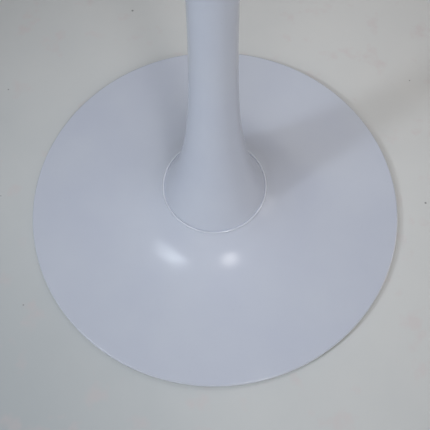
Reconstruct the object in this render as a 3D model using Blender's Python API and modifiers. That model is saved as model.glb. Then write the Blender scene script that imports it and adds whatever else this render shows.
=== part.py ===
"""Round pedestal table: a lacquered disc top on a trumpet column and a weighted flared base.

Units are metres, +Z is up, and the origin is on the floor at the centre of the base.
"""
import math

import bmesh
import bpy

# Driving dimensions
TABLE_HEIGHT = 0.740
TOP_RADIUS = 0.350
TOP_THICKNESS = 0.020
BASE_RADIUS = 0.230
GAP = 0.0003

# Tabletop edge: a flat band with the underside bevelled away towards the middle
TOP_EDGE_BAND = 0.009
TOP_BEVEL_WIDTH = 0.032
TOP_EDGE_ROUND = 0.0015

# Base cover: its top surface is the curve z = FLARE_FOOT + FLARE_RISE / (r - FLARE_PULL)
COVER_WALL = 0.002
COVER_FLOOR_GAP = 0.0035
RIM_TOP_Z = 0.0115
RIM_ROUND = 0.002
NECK_RADIUS = 0.0619
NECK_HEIGHT = 0.0525
NECK_BEAD = 0.0011
FLARE_PULL = 0.012
RIM_FLAT_RADIUS = BASE_RADIUS - RIM_ROUND
FLARE_RISE = (NECK_HEIGHT - RIM_TOP_Z) / (
    1 / (NECK_RADIUS - FLARE_PULL) - 1 / (RIM_FLAT_RADIUS - FLARE_PULL)
)
FLARE_FOOT = RIM_TOP_Z - FLARE_RISE / (RIM_FLAT_RADIUS - FLARE_PULL)
LEDGE_TOP_Z = 0.0495
LEDGE_INNER_RADIUS = 0.046

# Ballast casting under the cover
BALLAST_RADIUS = 0.205
BALLAST_BOTTOM_Z = 0.0035
BALLAST_BOSS_RADIUS = 0.054
BALLAST_SHOULDER_RADIUS = 0.070
BALLAST_RELIEF_INNER = 0.046
BALLAST_RELIEF_OUTER = 0.120
BALLAST_RELIEF_DRAFT = 0.004
BALLAST_RELIEF_STEP = 0.074
BALLAST_SHELL = 0.009
BALLAST_CLEARANCE = 0.0014
NUT_POCKET_RADIUS = 0.021
NUT_POCKET_TOP_Z = 0.0262
EDGE_RING_WIDTH = 0.0036
EDGE_RING_CLEARANCE = 0.0009
EDGE_RING_BOTTOM_Z = 0.0050
EDGE_RING_TOP_Z = 0.0092

# Trumpet column: a waist with an exponential flare at each end
COLUMN_FOOT_Z = LEDGE_TOP_Z + GAP
COLUMN_FOOT_RADIUS = 0.0605
COLUMN_COLLAR_TOP_Z = 0.0525
COLUMN_WAIST_TERM = 0.0186
COLUMN_FOOT_DECAY = 0.088
COLUMN_HEAD_RADIUS = 0.075
COLUMN_HEAD_DECAY = 0.060
COLUMN_WALL = 0.002

# Top fixing
PLATE_RADIUS = 0.110
PLATE_THICKNESS = 0.005
PLATE_SCREW_COUNT = 6
PLATE_SCREW_CIRCLE = 0.095
PLATE_TOP_Z = TABLE_HEIGHT - TOP_THICKNESS - GAP
PLATE_BOTTOM_Z = PLATE_TOP_Z - PLATE_THICKNESS
COLUMN_HEAD_Z = PLATE_BOTTOM_Z - GAP
COLUMN_HEAD_COLLAR_Z = COLUMN_HEAD_Z - 0.003
BOSS_RADIUS = 0.014
BOSS_HEIGHT = 0.026
CENTRING_DISC_THICKNESS = 0.0024

# Tie rod and its lower fastening
ROD_RADIUS = 0.00585
ROD_HOLE_RADIUS = 0.0063
ROD_BOTTOM_Z = 0.0075
ROD_TOP_Z = COLUMN_HEAD_Z - 0.002
NUT_FLATS = 0.019
NUT_HEIGHT = 0.010
WASHER_RADIUS = 0.012
WASHER_THICKNESS = 0.0025
SPLIT_WASHER_RADIUS = 0.0103
SPLIT_WASHER_THICKNESS = 0.0025
SPLIT_WIDTH = 0.0022
SPLIT_SLANT = math.radians(20)

# Screws into the tabletop and their threaded inserts
SCREW_RADIUS = 0.00285
SCREW_HEAD_RADIUS = 0.0056
SCREW_HEAD_HEIGHT = 0.0031
SCREW_LENGTH = 0.015
INSERT_RADIUS = 0.0045
INSERT_BORE_RADIUS = 0.0032
INSERT_LENGTH = 0.012

# Levelling feet
FOOT_COUNT = 4
FOOT_CIRCLE = 0.170
FOOT_FIRST_ANGLE = math.radians(45)
PAD_RADIUS = 0.0135
PAD_HEIGHT = 0.0042
PAD_FLOOR = 0.0012
PAD_ROOF = 0.0010
PAD_CAVITY_RADIUS = 0.0068
PAD_KEY_HOLE_RADIUS = 0.0038
STUD_RADIUS = 0.00385
STUD_HOLE_RADIUS = 0.0042
STUD_FLANGE_RADIUS = 0.0064
STUD_TOP_Z = 0.0108
PAD_POCKET_RADIUS = 0.0145

# Facets round each kind of turned piece
COVER_STEPS = 56
COLUMN_STEPS = 36
TOP_STEPS = 72
FITTING_STEPS = 32
FASTENER_STEPS = 16


def clear_scene():
    """Remove every object of the open file."""
    for old in list(bpy.data.objects):
        bpy.data.objects.remove(old, do_unlink=True)


def new_collection(name):
    """Make a collection under the scene."""
    collection = bpy.data.collections.new(name)
    bpy.context.scene.collection.children.link(collection)
    return collection


def new_material(name, colour, roughness, metallic):
    """Make a Principled material."""
    material = bpy.data.materials.new(name)
    material.use_nodes = True
    shader = material.node_tree.nodes["Principled BSDF"]
    shader.inputs["Base Color"].default_value = (*colour, 1.0)
    shader.inputs["Roughness"].default_value = roughness
    shader.inputs["Metallic"].default_value = metallic
    material.diffuse_color = (*colour, 1.0)
    return material


clear_scene()
PARTS = new_collection("round_pedestal_table")
CUTTERS = new_collection("cutters")


def place(mesh, name, material, location=(0.0, 0.0, 0.0)):
    """Make an object of a mesh: a part if it has a material, else a hidden cutter."""
    piece = bpy.data.objects.new(name, mesh)
    piece.location = location
    if material is None:
        CUTTERS.objects.link(piece)
        piece.hide_render = True
        piece.display_type = "WIRE"
        return piece
    PARTS.objects.link(piece)
    mesh.materials.append(material)
    return piece


def turned(name, outline, steps, material=None, location=(0.0, 0.0, 0.0)):
    """Turn an outline of (radius, height) points, down its outside and back up its inside.

    An outline that starts and ends on the axis stays open there; any other one is closed.
    """
    on_axis = outline[0][0] == 0.0 and outline[-1][0] == 0.0
    edges = [(i, i + 1) for i in range(len(outline) - 1)]
    if not on_axis:
        edges.append((len(outline) - 1, 0))
    mesh = bpy.data.meshes.new(name)
    mesh.from_pydata([(r, 0.0, z) for r, z in outline], edges, [])
    piece = place(mesh, name, material, location)
    screw = piece.modifiers.new("turn", "SCREW")
    screw.axis = "Z"
    screw.steps = steps
    screw.render_steps = steps
    screw.use_merge_vertices = True
    screw.merge_threshold = 0.00001
    screw.use_smooth_shade = True
    return piece


def cut(piece, cutter):
    """Cut a cutter's shape out of a piece."""
    boolean = piece.modifiers.new("cut_" + cutter.name, "BOOLEAN")
    boolean.operation = "DIFFERENCE"
    boolean.solver = "EXACT"
    boolean.object = cutter


def drill(piece, name, radius, low, high, location=(0.0, 0.0, 0.0)):
    """Cut a round hole along Z between two heights."""
    outline = [(0.0, high), (radius, high), (radius, low), (0.0, low)]
    cut(piece, turned(name, outline, FASTENER_STEPS, None, location))


def round_corner(centre, radius, start, end, count):
    """Points on an arc of a profile, with angles in degrees counted from +r towards +z."""
    points = []
    for i in range(count + 1):
        angle = math.radians(start + (end - start) * i / count)
        points.append((centre[0] + radius * math.cos(angle), centre[1] + radius * math.sin(angle)))
    return points


def on_circle(circle, index, count, first_angle=0.0):
    """Place on a circle round the table's axis."""
    angle = first_angle + 2 * math.pi * index / count
    return (circle * math.cos(angle), circle * math.sin(angle), 0.0)


def ring_outline(inner, outer, low, high):
    """Outline of a plain ring."""
    return [(outer, high), (outer, low), (inner, low), (inner, high)]


def cover_height(radius):
    """Height of the base cover's top surface at a radius."""
    return FLARE_FOOT + FLARE_RISE / (radius - FLARE_PULL)


def column_radius(height):
    """Outside radius of the column at a height."""
    foot = (COLUMN_FOOT_RADIUS - COLUMN_WAIST_TERM) * math.exp(
        -(height - COLUMN_COLLAR_TOP_Z) / COLUMN_FOOT_DECAY
    )
    head = (COLUMN_HEAD_RADIUS - COLUMN_WAIST_TERM) * math.exp(
        -(COLUMN_HEAD_COLLAR_Z - height) / COLUMN_HEAD_DECAY
    )
    return COLUMN_WAIST_TERM + foot + head


def build_tabletop(material):
    """Disc top with a thin edge, its underside bevelled, and blind holes for the inserts."""
    bottom = TABLE_HEIGHT - TOP_THICKNESS
    edge_low = TABLE_HEIGHT - TOP_EDGE_BAND
    corner = (TOP_RADIUS - TOP_EDGE_ROUND, TABLE_HEIGHT - TOP_EDGE_ROUND)
    outline = [(0.0, TABLE_HEIGHT)]
    outline += round_corner(corner, TOP_EDGE_ROUND, 90, 0, 3)
    outline += round_corner((corner[0], edge_low + TOP_EDGE_ROUND), TOP_EDGE_ROUND, 0, -60, 2)
    outline += [(TOP_RADIUS - TOP_BEVEL_WIDTH, bottom), (0.0, bottom)]
    top = turned("tabletop", outline, TOP_STEPS, material)
    for i in range(PLATE_SCREW_COUNT):
        spot = on_circle(PLATE_SCREW_CIRCLE, i, PLATE_SCREW_COUNT)
        hole_top = bottom + INSERT_LENGTH + 0.003
        radius = INSERT_RADIUS + GAP
        drill(top, f"insert_hole_{i + 1}", radius, bottom - 0.005, hole_top, spot)


def build_top_fixing(steel, brass, screw_steel):
    """Steel plate under the top, its threaded boss, the screws and the inserts they enter."""
    plate_ring = [(0.0, PLATE_TOP_Z), (PLATE_RADIUS, PLATE_TOP_Z)]
    plate_ring += [(PLATE_RADIUS, PLATE_BOTTOM_Z + 0.001), (PLATE_RADIUS - 0.001, PLATE_BOTTOM_Z)]
    plate_ring.append((0.0, PLATE_BOTTOM_Z))
    plate = turned("top_plate", plate_ring, 48, steel)
    head_low = PLATE_BOTTOM_Z + GAP
    sink = [
        (0.0, PLATE_TOP_Z + 0.002),
        (SCREW_RADIUS + GAP, PLATE_TOP_Z + 0.002),
        (SCREW_RADIUS + GAP, head_low + SCREW_HEAD_HEIGHT + GAP),
        (SCREW_HEAD_RADIUS + GAP, head_low + GAP),
        (SCREW_HEAD_RADIUS + GAP, PLATE_BOTTOM_Z - 0.002),
        (0.0, PLATE_BOTTOM_Z - 0.002),
    ]
    screw = [
        (0.0, head_low + SCREW_LENGTH),
        (SCREW_RADIUS, head_low + SCREW_LENGTH),
        (SCREW_RADIUS, head_low + SCREW_HEAD_HEIGHT),
        (SCREW_HEAD_RADIUS, head_low),
        (0.0, head_low),
    ]
    insert_low = TABLE_HEIGHT - TOP_THICKNESS + GAP
    insert = ring_outline(
        INSERT_BORE_RADIUS, INSERT_RADIUS, insert_low, insert_low + INSERT_LENGTH
    )
    for i in range(PLATE_SCREW_COUNT):
        spot = on_circle(PLATE_SCREW_CIRCLE, i, PLATE_SCREW_COUNT)
        cut(plate, turned(f"screw_sink_{i + 1}", sink, FASTENER_STEPS, None, spot))
        turned(f"top_screw_{i + 1}", screw, 14, screw_steel, spot)
        turned(f"insert_{i + 1}", insert, 14, brass, spot)
    boss = ring_outline(
        ROD_HOLE_RADIUS, BOSS_RADIUS, COLUMN_HEAD_Z - BOSS_HEIGHT, COLUMN_HEAD_Z
    )
    turned("rod_boss", boss, 24, steel)


def build_column(material, steel):
    """Trumpet column, open at both ends, with a centring disc in each."""
    levels = [COLUMN_HEAD_Z, COLUMN_HEAD_COLLAR_Z]
    span = COLUMN_HEAD_COLLAR_Z - COLUMN_COLLAR_TOP_Z
    count = 14
    for i in range(1, count):
        share = 0.5 + 0.5 * math.cos(math.pi * i / count)
        levels.append(COLUMN_COLLAR_TOP_Z + span * share)
    levels += [COLUMN_COLLAR_TOP_Z, COLUMN_FOOT_Z]
    outer = []
    for z in levels:
        radius = column_radius(min(max(z, COLUMN_COLLAR_TOP_Z), COLUMN_HEAD_COLLAR_Z))
        outer.append((radius, z))
    inner = [(radius - COLUMN_WALL, z) for radius, z in reversed(outer)]
    turned("column", outer + inner, COLUMN_STEPS, material)
    foot_low = COLUMN_FOOT_Z
    foot_disc = ring_outline(
        ROD_HOLE_RADIUS,
        COLUMN_FOOT_RADIUS - COLUMN_WALL - GAP,
        foot_low,
        foot_low + CENTRING_DISC_THICKNESS,
    )
    turned("foot_disc", foot_disc, FITTING_STEPS, steel)
    head_disc = ring_outline(
        BOSS_RADIUS + GAP,
        column_radius(COLUMN_HEAD_COLLAR_Z) - COLUMN_WALL - GAP,
        COLUMN_HEAD_Z - CENTRING_DISC_THICKNESS,
        COLUMN_HEAD_Z,
    )
    turned("head_disc", head_disc, FITTING_STEPS, steel)


def build_base_cover(material):
    """Flared sheet cover: ledge and bead at its neck, a long concave flare, a turned-in rim."""
    bead = round_corner((NECK_RADIUS, NECK_HEIGHT), NECK_BEAD, 180, 0, 3)
    flare_start = NECK_RADIUS + NECK_BEAD + 0.0004
    flare = []
    count = 12
    for i in range(count + 1):
        share = (i / count) ** 1.6
        radius = flare_start + (RIM_FLAT_RADIUS - flare_start) * share
        flare.append((radius, cover_height(radius)))
    rim = round_corner((RIM_FLAT_RADIUS, RIM_TOP_Z - RIM_ROUND), RIM_ROUND, 90, 0, 3)
    outside = [(LEDGE_INNER_RADIUS, LEDGE_TOP_Z), (NECK_RADIUS - NECK_BEAD, LEDGE_TOP_Z)]
    outside += bead + flare + rim[1:] + [(BASE_RADIUS, COVER_FLOOR_GAP)]
    inside = [(BASE_RADIUS - COVER_WALL, COVER_FLOOR_GAP)]
    inside.append((BASE_RADIUS - COVER_WALL, RIM_TOP_Z - RIM_ROUND))
    for radius, z in reversed(flare[1:]):
        steepness = FLARE_RISE / (radius - FLARE_PULL) ** 2
        length = math.hypot(1.0, steepness)
        shift = COVER_WALL / length
        inside.append((radius - shift * steepness, z - shift))
    inside.append((NECK_RADIUS - NECK_BEAD, LEDGE_TOP_Z - COVER_WALL))
    inside.append((LEDGE_INNER_RADIUS, LEDGE_TOP_Z - COVER_WALL))
    turned("base_cover", outside + inside, COVER_STEPS, material)


def build_ballast(iron, rubber):
    """Cast disc that follows the cover from below, with the rod hole and the foot holes."""
    under_cover = COVER_WALL + BALLAST_CLEARANCE

    def crown(radius):
        steepness = FLARE_RISE / (radius - FLARE_PULL) ** 2
        return cover_height(radius) - under_cover * math.hypot(1.0, steepness)

    boss_top = LEDGE_TOP_Z - COVER_WALL - GAP
    outline = [(ROD_HOLE_RADIUS, boss_top), (BALLAST_BOSS_RADIUS, boss_top)]
    for i in range(8):
        share = (i / 7) ** 1.4
        radius = BALLAST_SHOULDER_RADIUS + (BALLAST_RADIUS - BALLAST_SHOULDER_RADIUS) * share
        outline.append((radius, crown(radius)))
    outline.append((BALLAST_RADIUS, BALLAST_BOTTOM_Z))
    outline.append((BALLAST_RELIEF_OUTER, BALLAST_BOTTOM_Z))
    relief_start = BALLAST_RELIEF_OUTER - BALLAST_RELIEF_DRAFT
    relief_run = BALLAST_RELIEF_STEP - BALLAST_RELIEF_OUTER
    for i in range(4):
        radius = relief_start + relief_run * i / 3
        outline.append((radius, crown(radius) - BALLAST_SHELL))
    relief_inner_top = crown(BALLAST_SHOULDER_RADIUS) - BALLAST_SHELL
    outline += [(BALLAST_RELIEF_INNER, relief_inner_top), (BALLAST_RELIEF_INNER, BALLAST_BOTTOM_Z)]
    outline += [(NUT_POCKET_RADIUS, BALLAST_BOTTOM_Z), (NUT_POCKET_RADIUS, NUT_POCKET_TOP_Z)]
    outline.append((ROD_HOLE_RADIUS, NUT_POCKET_TOP_Z))
    ballast = turned("ballast", outline, 44, iron)
    for i in range(FOOT_COUNT):
        spot = on_circle(FOOT_CIRCLE, i, FOOT_COUNT, FOOT_FIRST_ANGLE)
        sink = [
            (0.0, 0.020),
            (STUD_HOLE_RADIUS, 0.020),
            (STUD_HOLE_RADIUS, PAD_HEIGHT + GAP),
            (PAD_POCKET_RADIUS, PAD_HEIGHT + GAP),
            (PAD_POCKET_RADIUS, -0.002),
            (0.0, -0.002),
        ]
        cut(ballast, turned(f"foot_hole_{i + 1}", sink, FASTENER_STEPS, None, spot))
    ring = ring_outline(
        BALLAST_RADIUS + EDGE_RING_CLEARANCE,
        BALLAST_RADIUS + EDGE_RING_CLEARANCE + EDGE_RING_WIDTH,
        EDGE_RING_BOTTOM_Z,
        EDGE_RING_TOP_Z,
    )
    turned("edge_ring", ring, COVER_STEPS, rubber)


def hexagon_nut(name, flats, low, high, hole_radius, material):
    """Six-sided nut with a plain bore, both outer edges bevelled."""
    mesh = bpy.data.meshes.new(name)
    shape = bmesh.new()
    corner_radius = flats / math.sqrt(3)
    bmesh.ops.create_cone(
        shape,
        cap_ends=True,
        segments=6,
        radius1=corner_radius,
        radius2=corner_radius,
        depth=high - low,
    )
    shape.to_mesh(mesh)
    shape.free()
    nut = place(mesh, name, material, (0.0, 0.0, (low + high) / 2))
    drill(nut, name + "_bore", hole_radius, low - 0.002, high + 0.002)
    return nut


def build_rod(steel, spring_steel):
    """Tie rod from the top plate's boss down to its nut in the ballast pocket."""
    chamfer = 0.0008
    rod = [
        (0.0, ROD_TOP_Z),
        (ROD_RADIUS - chamfer, ROD_TOP_Z),
        (ROD_RADIUS, ROD_TOP_Z - chamfer),
        (ROD_RADIUS, ROD_BOTTOM_Z + chamfer),
        (ROD_RADIUS - chamfer, ROD_BOTTOM_Z),
        (0.0, ROD_BOTTOM_Z),
    ]
    turned("tie_rod", rod, 20, steel)
    washer_top = NUT_POCKET_TOP_Z - GAP
    washer_low = washer_top - WASHER_THICKNESS
    washer = ring_outline(ROD_HOLE_RADIUS, WASHER_RADIUS, washer_low, washer_top)
    turned("rod_washer", washer, 24, steel)
    split_top = washer_low - GAP
    split_low = split_top - SPLIT_WASHER_THICKNESS
    split_ring = ring_outline(ROD_HOLE_RADIUS, SPLIT_WASHER_RADIUS, split_low, split_top)
    split = turned("split_washer", split_ring, 24, spring_steel)
    slot = bpy.data.meshes.new("washer_slot")
    shape = bmesh.new()
    bmesh.ops.create_cube(shape, size=1.0)
    bmesh.ops.scale(shape, vec=(0.012, SPLIT_WIDTH, 0.006), verts=shape.verts)
    shape.to_mesh(slot)
    shape.free()
    slot_cutter = place(slot, "washer_slot", None, (0.009, 0.0, (split_low + split_top) / 2))
    slot_cutter.rotation_euler = (SPLIT_SLANT, 0.0, 0.0)
    cut(split, slot_cutter)
    nut_top = split_low - GAP
    hexagon_nut("rod_nut", NUT_FLATS, nut_top - NUT_HEIGHT, nut_top, ROD_HOLE_RADIUS, steel)


def build_foot(index, nylon, steel):
    """One levelling foot: a pad that stays square to the floor and a stud that turns in it."""
    spot = on_circle(FOOT_CIRCLE, index, FOOT_COUNT, FOOT_FIRST_ANGLE)
    pad = [
        (PAD_RADIUS - 0.0016, PAD_HEIGHT),
        (PAD_RADIUS, PAD_HEIGHT - 0.0016),
        (PAD_RADIUS, 0.0006),
        (PAD_RADIUS - 0.0006, 0.0),
        (PAD_KEY_HOLE_RADIUS, 0.0),
        (PAD_KEY_HOLE_RADIUS, PAD_FLOOR),
        (PAD_CAVITY_RADIUS, PAD_FLOOR),
        (PAD_CAVITY_RADIUS, PAD_HEIGHT - PAD_ROOF),
        (STUD_HOLE_RADIUS, PAD_HEIGHT - PAD_ROOF),
        (STUD_HOLE_RADIUS, PAD_HEIGHT),
    ]
    turned(f"foot_pad_{index + 1}", pad, 24, nylon, spot)
    stud = [
        (0.0, STUD_TOP_Z),
        (STUD_RADIUS - 0.0006, STUD_TOP_Z),
        (STUD_RADIUS, STUD_TOP_Z - 0.0006),
        (STUD_RADIUS, PAD_HEIGHT - PAD_ROOF - GAP),
        (STUD_FLANGE_RADIUS, PAD_HEIGHT - PAD_ROOF - GAP),
        (STUD_FLANGE_RADIUS, PAD_FLOOR + GAP),
        (0.0, PAD_FLOOR + GAP),
    ]
    turned(f"foot_stud_{index + 1}", stud, FASTENER_STEPS, steel, spot)


def build_table():
    """Build every piece."""
    lacquer = new_material("satin_lacquer_on_metal", (0.46, 0.49, 0.56), 0.34, 0.0)
    board = new_material("satin_lacquer_on_board", (0.46, 0.49, 0.56), 0.34, 0.0)
    steel = new_material("zinc_plated_steel", (0.62, 0.62, 0.60), 0.38, 1.0)
    dark_steel = new_material("black_oxide_steel", (0.08, 0.08, 0.085), 0.45, 1.0)
    painted_steel = new_material("black_painted_steel", (0.03, 0.03, 0.032), 0.55, 0.0)
    iron = new_material("painted_cast_iron", (0.05, 0.05, 0.052), 0.7, 0.0)
    brass = new_material("brass", (0.72, 0.52, 0.24), 0.35, 1.0)
    rubber = new_material("black_rubber", (0.02, 0.02, 0.02), 0.8, 0.0)
    nylon = new_material("grey_nylon", (0.25, 0.25, 0.26), 0.5, 0.0)
    build_tabletop(board)
    build_top_fixing(painted_steel, brass, dark_steel)
    build_column(lacquer, steel)
    build_base_cover(lacquer)
    build_ballast(iron, rubber)
    build_rod(steel, dark_steel)
    for index in range(FOOT_COUNT):
        build_foot(index, nylon, steel)


build_table()
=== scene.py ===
"""Looks of the round pedestal table: fine meshes, finishes, floor, light and camera.

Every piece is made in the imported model's frame, in metres, with +Z up and the origin on the
floor at the centre of the base.
"""
import logging
import math
from dataclasses import dataclass, field
from enum import Enum
from typing import Any

import bmesh
import bpy
from mathutils import Matrix, Quaternion, Vector


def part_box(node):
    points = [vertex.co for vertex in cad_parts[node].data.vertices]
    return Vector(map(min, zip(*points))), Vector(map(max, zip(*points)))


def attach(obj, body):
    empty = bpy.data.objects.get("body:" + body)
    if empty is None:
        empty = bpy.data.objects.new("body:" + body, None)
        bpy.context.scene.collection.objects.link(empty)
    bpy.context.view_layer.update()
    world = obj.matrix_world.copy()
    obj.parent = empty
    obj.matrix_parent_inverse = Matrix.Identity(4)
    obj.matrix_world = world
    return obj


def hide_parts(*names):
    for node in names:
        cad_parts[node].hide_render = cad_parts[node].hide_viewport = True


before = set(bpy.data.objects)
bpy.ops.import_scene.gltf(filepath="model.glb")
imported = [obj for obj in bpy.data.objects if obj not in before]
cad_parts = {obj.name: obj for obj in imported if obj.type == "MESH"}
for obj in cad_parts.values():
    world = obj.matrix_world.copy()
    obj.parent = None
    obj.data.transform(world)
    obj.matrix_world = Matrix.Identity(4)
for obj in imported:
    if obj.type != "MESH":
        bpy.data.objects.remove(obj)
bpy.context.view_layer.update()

MM = 0.001
LOG = logging.getLogger("pedestal_table")
Point = tuple[float, float]
Socket = bpy.types.NodeSocket
ROOT_BODY = "table"


# ---------------------------------------------------------------------------
# Colour and node helpers
# ---------------------------------------------------------------------------

def linear(code: str) -> tuple[float, float, float, float]:
    """Turn an sRGB hex colour into the linear values that the shaders use.

    Args:
        code: Six hex digits, with or without a leading hash.

    Returns:
        Red, green, blue and an alpha of 1.
    """
    digits = code.lstrip("#")
    values = []
    for start in (0, 2, 4):
        part = int(digits[start:start + 2], 16) / 255.0
        values.append(part / 12.92 if part <= 0.04045 else ((part + 0.055) / 1.055) ** 2.4)
    return (values[0], values[1], values[2], 1.0)


def add_node(
    tree: bpy.types.NodeTree,
    kind: str,
    settings: dict[str | int, Any] | None = None,
    links: dict[str | int, Socket] | None = None,
) -> bpy.types.Node:
    """Add a node with its settings and links.

    Args:
        tree: Node tree that takes the node.
        kind: Blender's name of the node type.
        settings: Input values by socket name or index, or properties by name.
        links: Output sockets to join to the named or numbered inputs.

    Returns:
        The new node.
    """
    made = tree.nodes.new(kind)
    for name, value in (settings or {}).items():
        if isinstance(name, int) or name in made.inputs:
            made.inputs[name].default_value = value
        else:
            setattr(made, name, value)
    for name, socket in (links or {}).items():
        tree.links.new(socket, made.inputs[name])
    return made


# ---------------------------------------------------------------------------
# Mesh helpers
# ---------------------------------------------------------------------------

def arc(centre: Point, radius: float, start: float, end: float, count: int) -> list[Point]:
    """Points on an arc of an outline.

    Args:
        centre: Centre as (radius, height).
        radius: Radius of the arc.
        start: First angle in degrees, from +r towards +z.
        end: Last angle in degrees.
        count: Number of steps.

    Returns:
        The points, both ends included.
    """
    points = []
    for i in range(count + 1):
        angle = math.radians(start + (end - start) * i / count)
        points.append((centre[0] + radius * math.cos(angle), centre[1] + radius * math.sin(angle)))
    return points


def softened(outline: list[Point], radii: dict[int, float], count: int = 4) -> list[Point]:
    """Round chosen corners of an outline with tangent arcs.

    Args:
        outline: Corner points of a closed outline.
        radii: Rounding radius by corner number.
        count: Steps in each arc.

    Returns:
        The outline with its corners rounded.
    """
    points: list[Point] = []
    for i, corner in enumerate(outline):
        radius = radii.get(i, 0.0)
        if not radius:
            points.append(corner)
            continue
        here = Vector(corner)
        before = (Vector(outline[i - 1]) - here).normalized()
        after = (Vector(outline[(i + 1) % len(outline)]) - here).normalized()
        half = before.angle(after) / 2
        reach = radius / math.tan(half)
        start = here + before * reach
        centre = here + (before + after).normalized() * (radius / math.sin(half))
        spoke = start - centre
        turn = (here + after * reach - centre).angle(spoke)
        side = 1.0 if before.x * after.y - before.y * after.x < 0 else -1.0
        for step in range(count + 1):
            angle = side * turn * step / count
            cosine, sine = math.cos(angle), math.sin(angle)
            points.append((
                centre.x + spoke.x * cosine - spoke.y * sine,
                centre.y + spoke.x * sine + spoke.y * cosine,
            ))
    return points


def smoothed(mesh: bpy.types.Mesh, sharp: float = 32.0) -> bpy.types.Mesh:
    """Shade a mesh smooth, but for its sharp edges.

    Args:
        mesh: Mesh to shade.
        sharp: Smallest angle in degrees that stays sharp.

    Returns:
        The same mesh.
    """
    mesh.shade_smooth()
    mesh.set_sharp_from_angle(angle=math.radians(sharp))
    return mesh


def finished(shape: bmesh.types.BMesh, name: str) -> bpy.types.Mesh:
    """Turn an edited shape into a mesh whose faces point out.

    Args:
        shape: The shape; it is used up.
        name: Name of the mesh.

    Returns:
        The mesh, shaded smooth.
    """
    bmesh.ops.recalc_face_normals(shape, faces=shape.faces)
    mesh = bpy.data.meshes.new(name)
    shape.to_mesh(mesh)
    shape.free()
    return smoothed(mesh)


def turned(name: str, outline: list[Point], steps: int, spot: Vector | None = None) -> bpy.types.Mesh:
    """Turn an outline round an upright axis.

    Args:
        name: Name of the mesh.
        outline: Points as (radius, height). It is closed unless both ends are on the axis.
        steps: Facets round the axis.
        spot: Place of the axis on the floor, or None for the table's own axis.

    Returns:
        The closed mesh.
    """
    shape = bmesh.new()
    verts = [shape.verts.new((radius, 0.0, height)) for radius, height in outline]
    edges = [shape.edges.new(pair) for pair in zip(verts, verts[1:])]
    if outline[0][0] > 0 or outline[-1][0] > 0:
        edges.append(shape.edges.new((verts[-1], verts[0])))
    bmesh.ops.spin(
        shape, geom=verts + edges, cent=(0, 0, 0), axis=(0, 0, 1), angle=2 * math.pi, steps=steps
    )
    bmesh.ops.remove_doubles(shape, verts=shape.verts, dist=0.002 * MM)
    if spot is not None:
        bmesh.ops.translate(shape, vec=spot, verts=shape.verts)
    return finished(shape, name)


def ribbed(
    name: str, rows: list[tuple[float, float, float]], teeth: int, spot: Vector, per_tooth: int = 6
) -> bpy.types.Mesh:
    """Turn an outline whose rows may be fluted, such as a knurl or a grip.

    Args:
        name: Name of the mesh.
        rows: (radius, height, flute depth) down the outside and back up the bore.
        teeth: Flutes round the piece.
        spot: Place of the axis on the floor.
        per_tooth: Facets in each flute.

    Returns:
        The closed mesh.
    """
    shape = bmesh.new()
    around = teeth * per_tooth
    rings = []
    for radius, height, depth in rows:
        ring = []
        for i in range(around):
            angle = 2 * math.pi * i / around
            reach = radius - depth * (0.5 - 0.5 * math.cos(teeth * angle)) ** 2
            ring.append(shape.verts.new((
                spot.x + reach * math.cos(angle), spot.y + reach * math.sin(angle), height
            )))
        rings.append(ring)
    for j, ring in enumerate(rings):
        below = rings[(j + 1) % len(rings)]
        for i in range(around):
            k = (i + 1) % around
            shape.faces.new((ring[i], ring[k], below[k], below[i]))
    return finished(shape, name)


def threaded(
    name: str, radius: float, pitch: float, zones: list[tuple[float, float, bool]], spot: Vector
) -> bpy.types.Mesh:
    """Make a bar with a real helical thread on some of its length.

    Args:
        name: Name of the mesh.
        radius: Crest radius.
        pitch: Rise of one turn.
        zones: (low, high, has a thread) from the bottom up.
        spot: Place of the bar's axis on the floor.

    Returns:
        The closed mesh, with a small chamfer at both ends.
    """
    around, per_pitch = 36, 6
    depth, chamfer = 0.58 * pitch, 0.7 * MM
    low, high = zones[0][0], zones[-1][1]
    levels: list[tuple[float, bool]] = []
    for start, end, cut in zones:
        steps = max(1, round((end - start) / pitch * per_pitch)) if cut else 1
        levels += [(start + (end - start) * i / steps, cut) for i in range(steps + 1)]
    levels = [levels[0]] + [b for a, b in zip(levels, levels[1:]) if b[0] - a[0] > 0.01 * MM]
    shape = bmesh.new()
    rings = []
    for height, cut in levels:
        limit = radius - max(0.0, chamfer - min(height - low, high - height))
        ring = []
        for i in range(around):
            angle = 2 * math.pi * i / around
            phase = (height / pitch - i / around) % 1.0
            groove = max(0.0, 1.0 - abs(2 * phase - 1.0) * 1.15) * depth if cut else 0.0
            reach = min(limit, radius - groove)
            ring.append(shape.verts.new((
                spot.x + reach * math.cos(angle), spot.y + reach * math.sin(angle), height
            )))
        rings.append(ring)
    for ring, above in zip(rings, rings[1:]):
        for i in range(around):
            k = (i + 1) % around
            shape.faces.new((ring[i], ring[k], above[k], above[i]))
    shape.faces.new(rings[0])
    shape.faces.new(rings[-1])
    return finished(shape, name)


def prism(name: str, flats: float, low: float, high: float, spot: Vector) -> bpy.types.Mesh:
    """Make an upright hexagonal bar.

    Args:
        name: Name of the mesh.
        flats: Size across flats.
        low: Height of its lower end.
        high: Height of its upper end.
        spot: Place of its axis on the floor.

    Returns:
        The closed mesh.
    """
    shape = bmesh.new()
    corner = flats / math.sqrt(3)
    bmesh.ops.create_cone(
        shape, cap_ends=True, segments=6, radius1=corner, radius2=corner, depth=high - low
    )
    bmesh.ops.translate(shape, vec=spot + Vector((0, 0, (low + high) / 2)), verts=shape.verts)
    return finished(shape, name)


class Joinery(Enum):
    """How one shape changes another."""

    CUT = "DIFFERENCE"
    KEEP_COMMON = "INTERSECT"
    JOIN = "UNION"


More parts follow.
